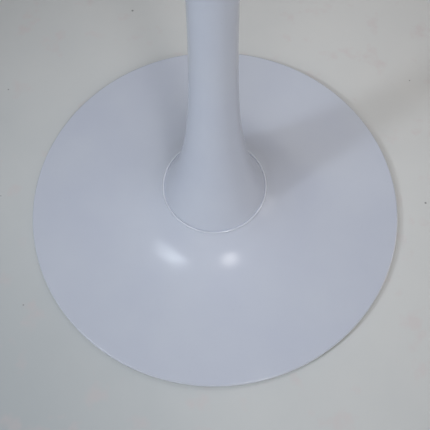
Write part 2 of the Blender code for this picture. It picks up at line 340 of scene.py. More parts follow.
def worked(mesh: bpy.types.Mesh, tools: list[bpy.types.Mesh], way: Joinery) -> bpy.types.Mesh:
    """Cut a mesh with closed tools, join them to it, or keep only what it shares with them.

    Args:
        mesh: Mesh to work on.
        tools: Closed meshes; they are used up.
        way: What the tools do.

    Returns:
        The new mesh.
    """
    blank = bpy.data.objects.new("blank", mesh)
    bpy.context.scene.collection.objects.link(blank)
    helpers = []
    for tool in tools:
        helper = bpy.data.objects.new("tool", tool)
        bpy.context.scene.collection.objects.link(helper)
        boolean = blank.modifiers.new("work", "BOOLEAN")
        boolean.operation = way.value
        boolean.solver = "EXACT"
        boolean.object = helper
        helpers.append(helper)
    graph = bpy.context.evaluated_depsgraph_get()
    result = bpy.data.meshes.new_from_object(blank.evaluated_get(graph))
    result.name = mesh.name
    for used in [blank, *helpers]:
        bpy.data.objects.remove(used, do_unlink=True)
    return smoothed(result)


# ---------------------------------------------------------------------------
# Finishes
# ---------------------------------------------------------------------------

@dataclass(frozen=True)
class Surface:
    """A material in the making: its nodes, its shader and the place on the object in metres."""

    tree: bpy.types.NodeTree
    shader: bpy.types.Node
    where: Socket

    def grain(self, size_mm: float, detail: float = 2.0) -> Socket:
        """Noise whose blotches are about size_mm across.

        Args:
            size_mm: Real size of one blotch.
            detail: Octaves of finer noise.

        Returns:
            The noise value from 0 to 1.
        """
        noise = add_node(
            self.tree,
            "ShaderNodeTexNoise",
            {"Scale": 1.0 / (size_mm * MM), "Detail": detail, "Roughness": 0.55},
            {"Vector": self.where},
        )
        return noise.outputs["Fac"]

    def spread(self, value: Socket, band: Point, to: Point = (0.0, 1.0)) -> Socket:
        """Map a band of values onto another, clamped.

        Args:
            value: Socket to read.
            band: Values read as the two ends.
            to: Values written at the two ends.

        Returns:
            The mapped value.
        """
        ends = {"From Min": band[0], "From Max": band[1], "To Min": to[0], "To Max": to[1]}
        return add_node(self.tree, "ShaderNodeMapRange", ends, {"Value": value}).outputs["Result"]

    def blended(self, share: Socket, below: Socket | str, above: Socket | str) -> Socket:
        """Mix two colours by a share.

        Args:
            share: 0 gives the first colour and 1 the second.
            below: First colour, as a hex code or a socket.
            above: Second colour, as a hex code or a socket.

        Returns:
            The mixed colour.
        """
        mix = add_node(self.tree, "ShaderNodeMix", {"data_type": "RGBA"}, {0: share})
        for index, colour in ((6, below), (7, above)):
            if isinstance(colour, str):
                mix.inputs[index].default_value = linear(colour)
            else:
                self.tree.links.new(colour, mix.inputs[index])
        return mix.outputs[2]

    def relief(self, height: Socket, depth_mm: float, under: Socket | None = None) -> Socket:
        """Bump of a real depth.

        Args:
            height: Height from 0 to 1.
            depth_mm: Depth that 0 to 1 stands for.
            under: Normal that the bump is laid on.

        Returns:
            The normal.
        """
        bump = add_node(self.tree, "ShaderNodeBump", {"Distance": depth_mm * MM}, {"Height": height})
        if under is not None:
            self.tree.links.new(under, bump.inputs["Normal"])
        return bump.outputs["Normal"]

    def maths(self, operation: str, *terms: Socket | float) -> Socket:
        """Combine values in one Math node.

        Args:
            operation: Blender's name of the operation.
            terms: Sockets or numbers, in the node's order.

        Returns:
            The result.
        """
        node = add_node(self.tree, "ShaderNodeMath", {"operation": operation})
        for index, term in enumerate(terms):
            if isinstance(term, float):
                node.inputs[index].default_value = term
            else:
                self.tree.links.new(term, node.inputs[index])
        return node.outputs[0]

    def from_axis(self) -> Socket:
        """Distance from the table's upright axis.

        Returns:
            The distance in metres.
        """
        kind = "ShaderNodeVectorMath"
        flat = add_node(self.tree, kind, {"operation": "MULTIPLY", 1: (1, 1, 0)}, {0: self.where})
        length = add_node(self.tree, kind, {"operation": "LENGTH"}, {0: flat.outputs["Vector"]})
        return length.outputs["Value"]

    def wear(self, colour: Socket, rough: Socket, normal: Socket) -> None:
        """Link the three sockets to the shader's colour, roughness and normal."""
        for name, socket in (("Base Color", colour), ("Roughness", rough), ("Normal", normal)):
            self.tree.links.new(socket, self.shader.inputs[name])


@dataclass(frozen=True)
class Finish:
    """A surface finish that makes its own material."""

    name: str

    def material(self) -> bpy.types.Material:
        """Make the material, or give the one made before.

        Returns:
            The material.
        """
        known = bpy.data.materials.get(self.name)
        if known is not None:
            return known
        made = bpy.data.materials.new(self.name)
        made.use_nodes = True
        tree = made.node_tree
        where = add_node(tree, "ShaderNodeTexCoord").outputs["Object"]
        self.dress(Surface(tree, tree.nodes["Principled BSDF"], where))
        return made

    def dress(self, surface: Surface) -> None:
        """Add this finish's nodes to a surface."""
        raise NotImplementedError


@dataclass(frozen=True)
class SatinLacquer(Finish):
    """Sprayed two-part polyurethane lacquer, satin, in a cool white.

    The spray leaves orange peel a few millimetres across, which softens and slightly ruffles a
    reflection. Sheen varies a little with the film's thickness. On the base, lacquer gathers on
    the rolled rim and bead, which are glossier, and the bead's crown is painted paler as a painted
    highlight.
    """

    colour: str = "#CBD1DE"
    shade: str = "#C7CDDC"
    scuffed: str = "#B9BDC6"
    sheen: float = 0.20
    peel_mm: float = 2.6
    rim_radius: float | None = None
    bead_radius: float | None = None
    bead_height: float = 51.8 * MM
    edge_gloss: float = 2.1
    edge_sheen: float = 0.16
    # Pale colour painted on the bead's crown: a painted highlight standing in for the lamps' reflection
    # there.
    primer: str = "#EEF2FB"
    bead_highlight_share: float = 0.22

    def dress(self, surface: Surface) -> None:
        """Film colour, orange peel, uneven sheen, settled dust and, on the base, its edges.

        Args:
            surface: Surface to dress.
        """
        film = surface.spread(surface.grain(70.0), (0.3, 0.7))
        colour = surface.blended(film, self.colour, self.shade)
        dust = surface.spread(surface.grain(1.4, 0.0), (0.80, 0.84), (0.0, 0.35))
        colour = surface.blended(dust, colour, self.scuffed)
        dull, duller = self.sheen - 0.02, self.sheen + 0.03
        rough = surface.spread(surface.grain(22.0), (0.3, 0.7), (dull, duller))
        if self.rim_radius is not None and self.bead_radius is not None:
            colour, rough = self.edges(surface, colour, rough)
        wave = surface.relief(surface.grain(11.0, 0.0), 0.030)
        surface.wear(colour, rough, surface.relief(surface.grain(self.peel_mm, 1.0), 0.010, wave))
        # Polyurethane's index is about 1.5, which gives a clean white reflection of the lamps.
        surface.shader.inputs["IOR"].default_value = 1.50

    def edges(self, surface: Surface, colour: Socket, rough: Socket) -> tuple[Socket, Socket]:
        """Make the rolled edges glossy, where lacquer gathers, and paint a pale highlight on the bead.

        Args:
            surface: Surface of the base.
            colour: Colour of the open surface.
            rough: Roughness of the open surface.

        Returns:
            The colour with a painted highlight on the bead, and the roughness with rubbed patches on the
            rim.
        """
        reach = surface.from_axis()
        rim = surface.spread(reach, (self.rim_radius, self.rim_radius + 0.5 * MM))
        inside = surface.spread(reach, (self.bead_radius, self.bead_radius + 0.3 * MM), (1.0, 0.0))
        parts = add_node(surface.tree, "ShaderNodeSeparateXYZ", {}, {"Vector": surface.where})
        crown = surface.spread(parts.outputs["Z"], (self.bead_height, self.bead_height + 0.4 * MM))
        bead = surface.maths("MULTIPLY", inside, crown)
        surface.tree.links.new(surface.maths("ADD", rim, bead), surface.shader.inputs["Coat Weight"])
        surface.shader.inputs["Coat IOR"].default_value = self.edge_gloss
        surface.shader.inputs["Coat Roughness"].default_value = self.edge_sheen
        # Painted highlight: the bead's crown is blended towards the pale colour.
        rubbed = surface.maths("MULTIPLY", bead, self.bead_highlight_share)
        paler = surface.blended(rubbed, colour, self.primer)
        rubs = surface.spread(surface.grain(5.0, 4.0), (0.58, 0.68), (0.0, 0.15))
        return paler, surface.maths("MULTIPLY_ADD", rim, rubs, rough)


@dataclass(frozen=True)
class PowderCoat(Finish):
    """Fine-textured black polyester powder coat, baked: matt, with a sandy grain."""

    colour: str = "#1B1C1E"
    flecks: str = "#2A2B2D"
    grain_mm: float = 0.9

    def dress(self, surface: Surface) -> None:
        """Sandy relief, drawn coarser than the real half millimetre so that it shows.

        Args:
            surface: Surface to dress.
        """
        sand = surface.grain(self.grain_mm, 3.0)
        colour = surface.blended(surface.spread(sand, (0.4, 0.7)), self.colour, self.flecks)
        rough = surface.spread(sand, (0.3, 0.7), (0.50, 0.62))
        surface.wear(colour, rough, surface.relief(sand, 0.12))


@dataclass(frozen=True)
class TurnedMetal(Finish):
    """Bare or plated metal off a lathe: rings a fraction of a millimetre apart, and stains."""

    colour: str = "#C3C6C8"
    stain: str = "#A9A79C"
    sheen: float = 0.28
    ring_mm: float = 0.6

    def dress(self, surface: Surface) -> None:
        """Tool rings round the axis, cloudy plating and a few handling marks.

        Args:
            surface: Surface to dress.
        """
        cloud = surface.grain(6.0, 3.0)
        colour = surface.blended(surface.spread(cloud, (0.35, 0.75)), self.colour, self.stain)
        # A wave at scale 1 repeats every 0.31 m, a twentieth of a full turn in radians.
        ringed = {
            "wave_type": "RINGS",
            "rings_direction": "Z",
            "Scale": 0.31 / (self.ring_mm * MM),
            "Distortion": 0.6,
            "Detail": 1.0,
        }
        rings = add_node(surface.tree, "ShaderNodeTexWave", ringed, {"Vector": surface.where})
        rough = surface.spread(cloud, (0.3, 0.7), (self.sheen, self.sheen + 0.14))
        surface.wear(colour, rough, surface.relief(rings.outputs["Fac"], 0.012))
        surface.shader.inputs["Metallic"].default_value = 1.0


@dataclass(frozen=True)
class BlackOxide(Finish):
    """Blackened, oiled steel of a high-tensile fastener: dark, with a dull oily shine."""

    colour: str = "#2B2C2F"
    rubbed: str = "#55565A"

    def dress(self, surface: Surface) -> None:
        """Blotches where the oxide has rubbed thin, and a fine etched grain.

        Args:
            surface: Surface to dress.
        """
        cloud = surface.grain(2.5, 3.0)
        colour = surface.blended(surface.spread(cloud, (0.55, 0.75)), self.colour, self.rubbed)
        rough = surface.spread(cloud, (0.3, 0.7), (0.34, 0.48))
        surface.wear(colour, rough, surface.relief(surface.grain(0.5, 1.0), 0.015))
        surface.shader.inputs["Metallic"].default_value = 1.0


@dataclass(frozen=True)
class SandCastIron(Finish):
    """Grey iron cast in sand, brushed with black primer: a pebbled skin and specks of rust."""

    colour: str = "#232427"
    worn: str = "#3A3B3E"
    rust: str = "#5A3A26"

    def dress(self, surface: Surface) -> None:
        """Sand grain about 1.5 mm across, brushed primer and a little rust coming through.

        Args:
            surface: Surface to dress.
        """
        sand, cloud = surface.grain(1.6, 4.0), surface.grain(24.0, 3.0)
        primer = surface.blended(surface.spread(cloud, (0.35, 0.7)), self.colour, self.worn)
        spots = surface.spread(surface.grain(4.0, 4.0), (0.66, 0.74), (0.0, 0.8))
        colour = surface.blended(spots, primer, self.rust)
        rough = surface.spread(sand, (0.3, 0.7), (0.55, 0.78))
        surface.wear(colour, rough, surface.relief(sand, 0.35, surface.relief(cloud, 0.5)))


@dataclass(frozen=True)
class Rubber(Finish):
    """Extruded EPDM rubber: matt black, with fine draw lines and a grey bloom."""

    colour: str = "#17181A"
    bloom: str = "#2C2D2F"

    def dress(self, surface: Surface) -> None:
        """Bloom in soft patches over a faintly rough skin.

        Args:
            surface: Surface to dress.
        """
        cloud = surface.grain(9.0, 3.0)
        colour = surface.blended(surface.spread(cloud, (0.4, 0.75)), self.colour, self.bloom)
        rough = surface.spread(cloud, (0.3, 0.7), (0.70, 0.84))
        surface.wear(colour, rough, surface.relief(surface.grain(0.7, 2.0), 0.03))


@dataclass(frozen=True)
class MouldedNylon(Finish):
    """Injection-moulded grey nylon: spark-eroded texture, scuffed by the floor."""

    colour: str = "#6E7073"
    scuffed: str = "#8C8D8F"

    def dress(self, surface: Surface) -> None:
        """Eroded grain of about half a millimetre and pale scuffs.

        Args:
            surface: Surface to dress.
        """
        spark = surface.grain(0.6, 2.0)
        scuffs = surface.spread(surface.grain(3.0, 4.0), (0.55, 0.7), (0.0, 0.6))
        colour = surface.blended(scuffs, self.colour, self.scuffed)
        rough = surface.spread(spark, (0.3, 0.7), (0.42, 0.56))
        surface.wear(colour, rough, surface.relief(spark, 0.04))
        surface.shader.inputs["IOR"].default_value = 1.53


@dataclass(frozen=True)
class SealedFloor(Finish):
    """Pale sealed floor: faintly clouded, nearly matt, with smudges, a few specks of grit and painted
    shade towards the front left.
    """

    colour: str = "#E5E5E3"
    # Painted shade colour at the darker, front-left end of the floor's gradient.
    dull: str = "#C4CACD"
    # Painted shade colour for the front-left corner.
    corner_painted_shade: str = "#AEB5B8"
    grit: str = "#77797A"
    rub: str = "#D8C8C9"
    # Half-width of the painted shade gradient, in metres along its way.
    painted_shade_reach: float = 0.45
    painted_shade_way: tuple[float, float, float] = (0.73, 0.68, 0.0)
    cell: float = 170 * MM

    def dress(self, surface: Surface) -> None:
        """Painted shade that darkens the floor towards the front left, deeper in its front-left corner,
        then clouding, grit, smudges and a fine tooth.

        Args:
            surface: Surface to dress.
        """
        along = {"operation": "DOT_PRODUCT", 1: self.painted_shade_way}
        along_painted_shade = add_node(surface.tree, "ShaderNodeVectorMath", along, {0: surface.where})
        across = along_painted_shade.outputs["Value"]
        # Painted shade: the floor's colour darkens from the back right towards the front left.
        even = surface.spread(across, (-self.painted_shade_reach, self.painted_shade_reach))
        clouds = surface.spread(surface.grain(120.0, 4.0), (0.3, 0.7), (-0.08, 0.08))
        colour = surface.blended(surface.maths("ADD", even, clouds), self.dull, self.colour)
        # Painted shade, deeper still in the front-left corner.
        corner = surface.spread(across, (-0.44, -0.20), (0.8, 0.0))
        colour = surface.blended(corner, colour, self.corner_painted_shade)
        flat = {"voronoi_dimensions": "2D", "Scale": 1.0 / self.cell}
        cells = add_node(surface.tree, "ShaderNodeTexVoronoi", flat, {"Vector": surface.where})
        # Distances are in cells, so the specks come out 1 to 3 mm across.
        uneven = surface.spread(surface.grain(60.0), (0.35, 0.65), (0.7, 2.2))
        apart = surface.maths("MULTIPLY", cells.outputs["Distance"], uneven)
        specks = surface.spread(apart, (0.006, 0.011), (0.8, 0.0))
        colour = surface.blended(specks, colour, self.grit)
        smudges = surface.spread(surface.grain(42.0, 3.0), (0.58, 0.70), (0.0, 0.30))
        colour = surface.blended(smudges, colour, self.rub)
        rough = surface.spread(clouds, (0.0, 1.0), (0.50, 0.60))
        surface.wear(colour, rough, surface.relief(surface.grain(1.5, 3.0), 0.02))


# A cool, even white in which lamps show as soft-edged patches.
LACQUER = SatinLacquer("satin_lacquer_on_spun_metal")
# The same, with a bright line on the rim and bead: partly a real glossier coat where lacquer gathers,
# partly a painted highlight on the bead's crown.
LACQUER_BASE = SatinLacquer(
    "satin_lacquer_on_base", rim_radius=228.3 * MM, bead_radius=63.2 * MM
)
# Fibreboard drinks the first coat, so its lacquer is a touch duller with a finer peel.
LACQUER_BOARD = SatinLacquer("satin_lacquer_on_board", sheen=0.24, peel_mm=2.0)
# A dull, sandy black that shows no clear reflection.
POWDER = PowderCoat("black_powder_coat")
# Bright zinc plate has a faint warm stain where the passivation is thick.
ZINC = TurnedMetal("bright_zinc_plate")
# Warm yellow rings that glint at a slant.
BRASS = TurnedMetal("turned_brass", colour="#C9A35E", stain="#A9833F", sheen=0.24)
# Near black, with an oily glint on its edges.
OXIDE = BlackOxide("black_oxide_steel")
# Pebbled, dark and dusty, with a few rust spots that catch the eye from below.
IRON = SandCastIron("primed_cast_iron")
# The darkest piece, with no glint at all.
RUBBER = Rubber("epdm_rubber")
# A soft grey, paler where the floor has rubbed it.
NYLON = MouldedNylon("grey_moulded_nylon")
# Pale and nearly matt, so the table's soft shadows read on it.
FLOOR = SealedFloor("pale_sealed_floor")


# ---------------------------------------------------------------------------
# Pieces
# ---------------------------------------------------------------------------

def show(
    mesh: bpy.types.Mesh, finish: Finish, node: str, body: str = ROOT_BODY
) -> bpy.types.Object:
    """Make a piece of a mesh and let it stand for a CAD node.

    Args:
        mesh: Final mesh, in the frame.
        finish: Its finish.
        node: CAD node that it stands for.
        body: CAD body that it rides on.

    Returns:
        The piece.
    """
    piece = bpy.data.objects.new(node + "_fine", mesh)
    bpy.context.scene.collection.objects.link(piece)
    mesh.materials.clear()
    mesh.materials.append(finish.material())
    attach(piece, body)
    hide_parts(node)
    LOG.info("%s: %d faces, %s, on %s", piece.name, len(mesh.polygons), finish.name, body)
    return piece


def numbered(stem: str) -> list[str]:
    """Names of the CAD nodes that are a stem and a number, in order."""
    return sorted(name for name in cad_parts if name.rsplit("_", 1)[0] == stem)


def middle(node: str) -> Vector:
    """Centre of a CAD node's box, dropped to the floor plane."""
    low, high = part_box(node)
    return Vector(((low.x + high.x) / 2, (low.y + high.y) / 2, 0.0))


@dataclass
class Tabletop:
    """Lacquered fibreboard disc, thin at the edge and bevelled underneath."""

    edge_band: float = 9 * MM
    bevel_width: float = 32 * MM
    edge_round: float = 1.5 * MM
    hole_margin: float = 0.3 * MM
    steps: int = 288

    def build(self) -> None:
        """Make the disc with its blind insert holes."""
        low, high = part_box("tabletop")
        radius, top, bottom = high.x, high.z, low.z
        outline = [(0.0, top)]
        outline += arc((radius - self.edge_round, top - self.edge_round), self.edge_round, 90, 0, 8)
        band_low = top - self.edge_band + self.edge_round
        outline += arc((radius - self.edge_round, band_low), self.edge_round, 0, -68, 8)
        inner = radius - self.bevel_width
        outline += [(inner + 2 * MM, bottom + 0.7 * MM), (inner, bottom + 0.15 * MM)]
        outline += [(inner - 2 * MM, bottom), (0.0, bottom)]
        disc = turned("tabletop", outline, self.steps)
        holes = []
        for insert in numbered("insert"):
            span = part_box(insert)
            reach = (span[1].x - span[0].x) / 2 + self.hole_margin
            spot = middle(insert)
            depth = span[1].z + 3 * MM
            mouth = bottom - 5 * MM
            sink = [(0.0, depth), (reach, depth - 1 * MM), (reach, mouth), (0.0, mouth)]
            holes.append(turned("insert_hole", sink, 32, spot))
        show(worked(disc, holes, Joinery.CUT), LACQUER_BOARD, "tabletop")


@dataclass
class TopFixing:
    """Steel plate under the top with its boss, countersunk screws and threaded inserts."""

    plate_edge: float = 1.0 * MM
    socket_flats: float = 4.0 * MM
    socket_depth: float = 2.2 * MM
    insert_teeth: int = 20
    knurl: float = 0.35 * MM

    def build(self) -> None:
        """Make the plate, the boss, the screws and the inserts."""
        low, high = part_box("top_plate")
        radius = high.x
        corners = [(0.0, high.z), (radius, high.z), (radius, low.z), (0.0, low.z)]
        plate = turned(
            "top_plate", softened(corners, {1: 0.4 * MM, 2: self.plate_edge}, 5), 160
        )
        screws = numbered("top_screw")
        sinks = [self.countersink(screw, low.z, high.z) for screw in screws]
        show(worked(plate, sinks, Joinery.CUT), POWDER, "top_plate")
        for screw in screws:
            self.screw(screw)
        for insert in numbered("insert"):
            self.insert(insert)
        self.boss()

    def countersink(self, screw: str, low: float, high: float) -> bpy.types.Mesh:
        """Cutter for one screw's tapered hole.

        Args:
            screw: CAD node of the screw.
            low: Height of the plate's underside.
            high: Height of the plate's top.

        Returns:
            The closed mesh.
        """
        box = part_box(screw)
        head = (box[1].x - box[0].x) / 2 + 0.3 * MM
        shank = 3.2 * MM
        taper_top = box[0].z + head - shank
        outline = [
            (0.0, high + 2 * MM), (shank, high + 2 * MM), (shank, taper_top),
            (head, box[0].z), (head, low - 2 * MM), (0.0, low - 2 * MM),
        ]
        return turned("countersink", outline, 40, middle(screw))

    def screw(self, node: str) -> None:
        """Make one screw: shank, tapered head and hexagonal socket.

        Args:
            node: CAD node that it stands for.
        """
        low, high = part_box(node)
        spot = middle(node)
        head = (high.x - low.x) / 2
        neck = 2.85 * MM
        head_top = low.z + 3.1 * MM
        outline = [
            (0.0, high.z), (neck - 0.5 * MM, high.z), (neck, high.z - 0.5 * MM), (neck, head_top),
            (head, low.z + 0.5 * MM), (head - 0.2 * MM, low.z), (0.0, low.z),
        ]
        blank = turned("screw_" + node[-1], outline, 48, spot)
        socket = prism("socket", self.socket_flats, low.z - 1 * MM, low.z + self.socket_depth, spot)
        show(worked(blank, [socket], Joinery.CUT), OXIDE, node)

    def insert(self, node: str) -> None:
        """Make one insert with a knurled outside.

        Args:
            node: CAD node that it stands for.
        """
        low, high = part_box(node)
        outer = (high.x - low.x) / 2
        bore = 3.2 * MM
        waist = (low.z + high.z) / 2
        rows = [
            (outer - 0.4 * MM, high.z, 0.0), (outer, high.z - 0.5 * MM, self.knurl),
            (outer, waist + 0.8 * MM, self.knurl), (outer - 0.5 * MM, waist + 0.5 * MM, 0.0),
            (outer - 0.5 * MM, waist - 0.5 * MM, 0.0), (outer, waist - 0.8 * MM, self.knurl),
            (outer, low.z + 0.5 * MM, self.knurl), (outer - 0.4 * MM, low.z, 0.0),
            (bore + 0.3 * MM, low.z, 0.0), (bore, low.z + 0.5 * MM, 0.0), (bore, high.z, 0.0),
        ]
        show(ribbed(node, rows, self.insert_teeth, middle(node)), BRASS, node)

    def boss(self) -> None:
        """Make the rod boss, with its lower edges eased."""
        low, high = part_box("rod_boss")
        corners = [(high.x, high.z), (high.x, low.z), (6.3 * MM, low.z), (6.3 * MM, high.z)]
        outline = softened(corners, {1: 1.0 * MM, 2: 0.8 * MM})
        show(turned("rod_boss", outline, 96), POWDER, "rod_boss")


@dataclass
class Column:
    """Spun trumpet column: a waist with an exponential flare at each end."""

    foot_radius: float = 60.5 * MM
    head_radius: float = 75.0 * MM
    waist_term: float = 18.6 * MM
    foot_decay: float = 88.0 * MM
    head_decay: float = 60.0 * MM
    collar: float = 2.7 * MM
    head_collar: float = 3.0 * MM
    wall: float = 2.0 * MM
    lip: float = 0.5 * MM
    steps: int = 224
    rows: int = 110

    def radius_at(self, height: float, foot: float, head: float) -> float:
        """Outside radius at a height between the two collars.

        Args:
            height: Height above the floor.
            foot: Height where the foot flare starts.
            head: Height where the head flare ends.

        Returns:
            The radius in metres.
        """
        up = (self.foot_radius - self.waist_term) * math.exp(-(height - foot) / self.foot_decay)
        down = (self.head_radius - self.waist_term) * math.exp(-(head - height) / self.head_decay)
        return self.waist_term + up + down

    def build(self) -> None:
        """Make the column and dress the discs inside its two ends."""
        low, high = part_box("column")
        foot, head = low.z + self.collar, high.z - self.head_collar
        flare = []
        for i in range(self.rows + 1):
            height = foot + (head - foot) * (0.5 + 0.5 * math.cos(math.pi * i / self.rows))
            flare.append((self.radius_at(height, foot, head), height))
        top_radius, foot_radius = flare[0][0], flare[-1][0]
        outside = arc((top_radius - self.lip, high.z - self.lip), self.lip, 90, 0, 4) + flare
        outside += arc((foot_radius - self.lip, low.z + self.lip), self.lip, 0, -90, 4)
        inside = [(foot_radius - self.wall, low.z)]
        inside += [(radius - self.wall, height) for radius, height in reversed(flare)]
        inside.append((top_radius - self.wall, high.z))
        show(turned("column", outside + inside, self.steps), LACQUER, "column")
        for node in ("foot_disc", "head_disc"):
            self.disc(node)

    def disc(self, node: str) -> None:
        """Make a centring disc with softened edges.

        Args:
            node: CAD node that it stands for.
        """
        low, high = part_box(node)
        bore = (6.3 if node == "foot_disc" else 14.3) * MM
        corners = [(high.x, high.z), (high.x, low.z), (bore, low.z), (bore, high.z)]
        outline = softened(corners, {0: 0.4 * MM, 1: 0.4 * MM, 2: 0.3 * MM, 3: 0.3 * MM}, 3)
        show(turned(node, outline, 128), ZINC, node)


@dataclass
class Base:
    """Spun cover over a cast ballast, with a rubber ring between them at the edge."""

    wall: float = 2.0 * MM
    rim_round: float = 2.0 * MM
    rim_top: float = 11.5 * MM
    neck_radius: float = 61.9 * MM
    bead: float = 1.1 * MM
    pull: float = 12.0 * MM
    ledge_depth: float = 4.1 * MM
    ledge_bore: float = 46.0 * MM
    ballast_clearance: float = 1.4 * MM
    ballast_shell: float = 9.0 * MM
    steps: int = 288
    rows: int = 90
    bead_swell: float = 0.25 * MM
    bead_shift: float = 0.13 * MM
    rim_flat: float = field(init=False)
    neck_height: float = field(init=False)
    rise: float = field(init=False)
    datum: float = field(init=False)

    def __post_init__(self) -> None:
        """Work out the flare's curve: height = datum + rise / (radius - pull)."""
        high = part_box("base_cover")[1]
        self.rim_flat = high.x - self.rim_round
        self.neck_height = high.z - self.bead
        near, far = self.neck_radius - self.pull, self.rim_flat - self.pull
        self.rise = (self.neck_height - self.rim_top) / (1 / near - 1 / far)
        self.datum = self.rim_top - self.rise / far

    def height_at(self, radius: float) -> float:
        """Height of the cover's top surface at a radius."""
        return self.datum + self.rise / (radius - self.pull)

    def slope_at(self, radius: float) -> float:
        """Steepness of the cover's top surface at a radius, as fall over run."""
        return self.rise / (radius - self.pull) ** 2

    def build(self) -> None:
        """Make the cover, the ballast and the ring."""
        self.cover()
        self.ballast()
        self.ring()

    def cover(self) -> None:
        """Make the cover: ledge, bead, flare and turned-in rim."""
        low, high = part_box("base_cover")
        ledge = self.neck_height - self.ledge_depth + self.bead
        neck_in = self.neck_radius - self.bead
        start = self.neck_radius + self.bead + 0.5 * MM
        flare = []
        for i in range(self.rows + 1):
            radius = start + (self.rim_flat - start) * (i / self.rows) ** 1.5
            flare.append((radius, self.height_at(radius)))
        fuller = self.bead + self.bead_swell
        outside = [(self.ledge_bore, ledge), (neck_in - 0.4 * MM, ledge), (neck_in, ledge + 0.4 * MM)]
        middle_of_bead = (self.neck_radius - self.bead_shift, high.z - fuller)
        outside += arc(middle_of_bead, fuller, 180, 0, 16) + flare
        outside += arc((self.rim_flat, self.rim_top - self.rim_round), self.rim_round, 90, 0, 12)[1:]
        outside += arc((high.x - 0.5 * MM, low.z + 0.5 * MM), 0.5 * MM, 0, -90, 3)
        inside = [(high.x - self.wall + 0.2 * MM, low.z), (high.x - self.wall, low.z + 0.3 * MM)]
        inside.append((high.x - self.wall, self.rim_top - self.rim_round))
        for radius, height in reversed(flare[2:]):
            slope = self.slope_at(radius)
            shift = self.wall / math.hypot(1.0, slope)
            inside.append((radius - shift * slope, height - shift))
        inside += [(neck_in, ledge - self.wall), (self.ledge_bore, ledge - self.wall)]
        mesh = turned("base_cover", outside + inside, self.steps)
        show(mesh, LACQUER_BASE, "base_cover")

    def ballast(self) -> None:
        """Make the casting: crown under the cover, relief, nut pocket and foot holes."""
        low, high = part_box("ballast")
        under = self.wall + self.ballast_clearance

        def crown(radius: float) -> float:
            """Height of the casting's top at a radius."""
            return self.height_at(radius) - under * math.hypot(1.0, self.slope_at(radius))

        shoulder, relief_out, relief_in = 70 * MM, 120 * MM, 46 * MM
        relief_step, draft = 74 * MM, 4 * MM
        pocket, pocket_top, bore = 21 * MM, 26.2 * MM, 6.3 * MM
        outline = [(bore, high.z), (54 * MM, high.z)]
        for i in range(25):
            radius = shoulder + (high.x - shoulder) * (i / 24) ** 1.4
            outline.append((radius, crown(radius)))
        outline += arc((high.x - 1.2 * MM, low.z + 1.2 * MM), 1.2 * MM, 0, -90, 4)
        outline.append((relief_out, low.z))
        for i in range(13):
            radius = relief_out - draft + (relief_step - relief_out) * i / 12
            outline.append((radius, crown(radius) - self.ballast_shell))
        outline += [(relief_in + 3 * MM, crown(shoulder) - self.ballast_shell)]
        outline += arc((relief_in - 1.5 * MM, low.z + 1.5 * MM), 1.5 * MM, 0, -90, 4)
        outline += [(pocket, low.z), (pocket, pocket_top), (bore, pocket_top)]
        body = turned("ballast", outline, 224)
        holes = [self.foot_hole(pad) for pad in numbered("foot_pad")]
        show(worked(body, holes, Joinery.CUT), IRON, "ballast")

    def foot_hole(self, pad: str) -> bpy.types.Mesh:
        """Cutter for one foot's pocket and threaded hole.

        Args:
            pad: CAD node of the foot's pad.

        Returns:
            The closed mesh.
        """
        low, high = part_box(pad)
        wide = (high.x - low.x) / 2 + 1.0 * MM
        step = high.z + 0.3 * MM
        outline = [
            (0.0, 20 * MM), (4.2 * MM, 20 * MM), (4.2 * MM, step + 0.6 * MM), (4.8 * MM, step),
            (wide, step), (wide, -2 * MM), (0.0, -2 * MM),
        ]
        return turned("foot_hole", outline, 48, middle(pad))

    def ring(self) -> None:
        """Make the rubber ring, rounded like an extrusion."""
        low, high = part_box("edge_ring")
        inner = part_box("ballast")[1].x + 0.9 * MM
        corners = [(high.x, high.z), (high.x, low.z), (inner, low.z), (inner, high.z)]
        outline = softened(corners, {i: 0.9 * MM for i in range(4)}, 4)
        show(turned("edge_ring", outline, 224), RUBBER, "edge_ring")


